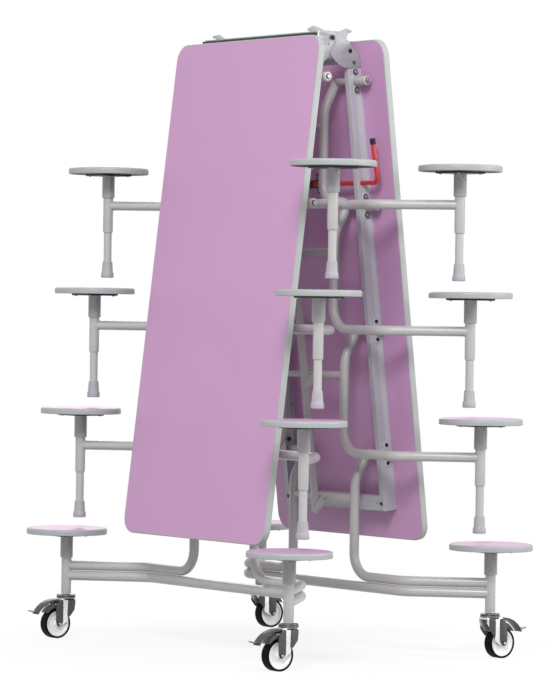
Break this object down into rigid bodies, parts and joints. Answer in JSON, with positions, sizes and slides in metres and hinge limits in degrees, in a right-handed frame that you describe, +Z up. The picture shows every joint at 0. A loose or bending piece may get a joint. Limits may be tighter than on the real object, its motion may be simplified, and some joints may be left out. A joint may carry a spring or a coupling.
{
  "type": "mobile folding cafeteria table with round stools",
  "caption": "Mobile folding dining table with round stools on swinging arms, shown folded upright on braked castors.",
  "frame": {"origin": "on the floor, midway between the two halves, under the centre hinge", "axes": "+X along the length of the open table, +Y across it, +Z up; the table is stored folded"},
  "size_m": [1.1124, 1.5442, 2.0517],
  "materials": {
    "laminate": "satin pink laminate on board",
    "edging": "moulded grey edging",
    "seat": "moulded seat with pink face",
    "seat_mount": "grey powder coat",
    "leg": "grey powder coat, plastic foot",
    "castor_wheel": "black tyre on a light grey hub",
    "pedal": "dark grey plastic, steel tip",
    "castor_fork": "bright zinc with dark plastic guard",
    "frame_paint": "grey powder coat",
    "rail_paint": "grey powder coat",
    "hinge_steel": "grey powder coat",
    "fastener": "zinc plated and blackened",
    "link_paint": "grey powder coat",
    "strip": "grey bar with black seal",
    "spring_steel": "grey powder coat",
    "lever_red": "red powder coat",
    "lever_cap": "black cap"
  },
  "bodies": {
    "left_base": {"left_base_frame": "frame_paint", "left_base_seats": "seat", "left_base_seat_mounts": "seat_mount"},
    "left_top": {"left_table_top": "laminate", "left_edging": "edging", "left_rails": "rail_paint", "left_pivot_bearings": "rail_paint", "left_hinge_plates": "hinge_steel", "left_fasteners": "fastener", "gap_strip": "strip"},
    "left_row_1": {"left_row_1_frame": "frame_paint", "left_row_1_seats": "seat", "left_row_1_seat_mounts": "seat_mount", "left_row_1_legs": "leg"},
    "left_row_2": {"left_row_2_frame": "frame_paint", "left_row_2_seats": "seat", "left_row_2_seat_mounts": "seat_mount", "left_row_2_legs": "leg"},
    "left_row_3": {"left_row_3_frame": "frame_paint", "left_row_3_seats": "seat", "left_row_3_seat_mounts": "seat_mount", "left_row_3_legs": "leg"},
    "left_link": {"left_link_bar": "link_paint"},
    "castor_left_a_swivel": {"castor_left_a_fork": "castor_fork"},
    "castor_left_a_roll": {"castor_left_a_wheel": "castor_wheel"},
    "castor_left_a_brake": {"castor_left_a_pedal": "pedal"},
    "castor_left_b_swivel": {"castor_left_b_fork": "castor_fork"},
    "castor_left_b_roll": {"castor_left_b_wheel": "castor_wheel"},
    "castor_left_b_brake": {"castor_left_b_pedal": "pedal"},
    "right_base": {"right_base_frame": "frame_paint", "right_base_seats": "seat", "right_base_seat_mounts": "seat_mount"},
    "right_top": {"right_table_top": "laminate", "right_edging": "edging", "right_rails": "rail_paint", "right_pivot_bearings": "rail_paint", "right_hinge_plates": "hinge_steel", "right_fasteners": "fastener", "spring_tube": "spring_steel"},
    "right_row_1": {"right_row_1_frame": "frame_paint", "right_row_1_seats": "seat", "right_row_1_seat_mounts": "seat_mount", "right_row_1_legs": "leg"},
    "right_row_2": {"right_row_2_frame": "frame_paint", "right_row_2_seats": "seat", "right_row_2_seat_mounts": "seat_mount", "right_row_2_legs": "leg"},
    "right_row_3": {"right_row_3_frame": "frame_paint", "right_row_3_seats": "seat", "right_row_3_seat_mounts": "seat_mount", "right_row_3_legs": "leg"},
    "right_link": {"right_link_bar": "link_paint"},
    "castor_right_a_swivel": {"castor_right_a_fork": "castor_fork"},
    "castor_right_a_roll": {"castor_right_a_wheel": "castor_wheel"},
    "castor_right_a_brake": {"castor_right_a_pedal": "pedal"},
    "castor_right_b_swivel": {"castor_right_b_fork": "castor_fork"},
    "castor_right_b_roll": {"castor_right_b_wheel": "castor_wheel"},
    "castor_right_b_brake": {"castor_right_b_pedal": "pedal"},
    "lever": {"lock_lever": "lever_red", "lever_cap": "lever_cap"}
  },
  "joints": [
    {"name": "fold", "type": "hinge", "parent": "left_base", "child": "left_top", "pos_m": [-0.25696, 0, 0.654], "axis": [0, 1, 0], "range_deg": [0, 82.97]},
    {"name": "centre_hinge", "type": "hinge", "parent": "left_top", "child": "right_top", "pos_m": [0, 0, 2.01871], "axis": [0, 1, 0], "range_deg": [-165.94, 0]},
    {"name": "right_base_pivot", "type": "hinge", "parent": "right_top", "child": "right_base", "pos_m": [0.25696, 0, 0.654], "axis": [0, 1, 0], "range_deg": [0, 82.97]},
    {"name": "left_row_1_pivot", "type": "hinge", "parent": "left_top", "child": "left_row_1", "pos_m": [-0.10557, 0, 1.8816], "axis": [0, 1, 0], "range_deg": [-82.97, 0]},
    {"name": "right_row_1_pivot", "type": "hinge", "parent": "right_top", "child": "right_row_1", "pos_m": [0.10557, 0, 1.8816], "axis": [0, 1, 0], "range_deg": [0, 82.97]},
    {"name": "left_row_2_pivot", "type": "hinge", "parent": "left_top", "child": "left_row_2", "pos_m": [-0.15604, 0, 1.4724], "axis": [0, 1, 0], "range_deg": [-82.97, 0]},
    {"name": "right_row_2_pivot", "type": "hinge", "parent": "right_top", "child": "right_row_2", "pos_m": [0.15604, 0, 1.4724], "axis": [0, 1, 0], "range_deg": [0, 82.97]},
    {"name": "left_row_3_pivot", "type": "hinge", "parent": "left_top", "child": "left_row_3", "pos_m": [-0.2065, 0, 1.0632], "axis": [0, 1, 0], "range_deg": [-82.97, 0]},
    {"name": "right_row_3_pivot", "type": "hinge", "parent": "right_top", "child": "right_row_3", "pos_m": [0.2065, 0, 1.0632], "axis": [0, 1, 0], "range_deg": [0, 82.97]},
    {"name": "left_link_pivot", "type": "hinge", "parent": "left_base", "child": "left_link", "pos_m": [-0.17096, 0, 0.462], "axis": [0, 1, 0], "range_deg": [0, 82.97]},
    {"name": "right_link_pivot", "type": "hinge", "parent": "right_base", "child": "right_link", "pos_m": [0.17096, 0, 0.462], "axis": [0, 1, 0], "range_deg": [-82.97, 0]},
    {"name": "lever_turn", "type": "hinge", "parent": "right_top", "child": "lever", "pos_m": [0.13794, 0, 1.54805], "axis": [0, -1, 0], "range_deg": [0, 60]},
    {"name": "castor_left_a_turn", "type": "hinge", "parent": "left_base", "child": "castor_left_a_swivel", "pos_m": [-0.40916, 0.6357, 0.152], "axis": [0, 0, 1], "continuous": true},
    {"name": "castor_left_a_spin", "type": "hinge", "parent": "castor_left_a_swivel", "child": "castor_left_a_roll", "pos_m": [-0.45076, 0.6357, 0.05], "axis": [0, 1, 0], "continuous": true},
    {"name": "castor_left_a_press", "type": "hinge", "parent": "castor_left_a_swivel", "child": "castor_left_a_brake", "pos_m": [-0.43916, 0.6357, 0.1225], "axis": [0, -1, 0], "range_deg": [0, 8]},
    {"name": "castor_left_b_turn", "type": "hinge", "parent": "left_base", "child": "castor_left_b_swivel", "pos_m": [-0.40916, -0.6357, 0.152], "axis": [0, 0, 1], "continuous": true},
    {"name": "castor_left_b_spin", "type": "hinge", "parent": "castor_left_b_swivel", "child": "castor_left_b_roll", "pos_m": [-0.45076, -0.6357, 0.05], "axis": [0, 1, 0], "continuous": true},
    {"name": "castor_left_b_press", "type": "hinge", "parent": "castor_left_b_swivel", "child": "castor_left_b_brake", "pos_m": [-0.43916, -0.6357, 0.1225], "axis": [0, -1, 0], "range_deg": [0, 8]},
    {"name": "castor_right_a_turn", "type": "hinge", "parent": "right_base", "child": "castor_right_a_swivel", "pos_m": [0.40916, -0.6357, 0.152], "axis": [0, 0, 1], "continuous": true},
    {"name": "castor_right_a_spin", "type": "hinge", "parent": "castor_right_a_swivel", "child": "castor_right_a_roll", "pos_m": [0.45076, -0.6357, 0.05], "axis": [0, 1, 0], "continuous": true},
    {"name": "castor_right_a_press", "type": "hinge", "parent": "castor_right_a_swivel", "child": "castor_right_a_brake", "pos_m": [0.43916, -0.6357, 0.1225], "axis": [0, 1, 0], "range_deg": [0, 8]},
    {"name": "castor_right_b_turn", "type": "hinge", "parent": "right_base", "child": "castor_right_b_swivel", "pos_m": [0.40916, 0.6357, 0.152], "axis": [0, 0, 1], "continuous": true},
    {"name": "castor_right_b_spin", "type": "hinge", "parent": "castor_right_b_swivel", "child": "castor_right_b_roll", "pos_m": [0.45076, 0.6357, 0.05], "axis": [0, 1, 0], "continuous": true},
    {"name": "castor_right_b_press", "type": "hinge", "parent": "castor_right_b_swivel", "child": "castor_right_b_brake", "pos_m": [0.43916, 0.6357, 0.1225], "axis": [0, 1, 0], "range_deg": [0, 8]}
  ],
  "couplings": [
    {"joint": "centre_hinge", "follows": "fold", "ratio": -2},
    {"joint": "right_base_pivot", "follows": "fold", "ratio": 1},
    {"joint": "left_row_1_pivot", "follows": "fold", "ratio": -1},
    {"joint": "right_row_1_pivot", "follows": "fold", "ratio": 1},
    {"joint": "left_row_2_pivot", "follows": "fold", "ratio": -1},
    {"joint": "right_row_2_pivot", "follows": "fold", "ratio": 1},
    {"joint": "left_row_3_pivot", "follows": "fold", "ratio": -1},
    {"joint": "right_row_3_pivot", "follows": "fold", "ratio": 1},
    {"joint": "left_link_pivot", "follows": "fold", "ratio": 1},
    {"joint": "right_link_pivot", "follows": "fold", "ratio": -1}
  ]
}
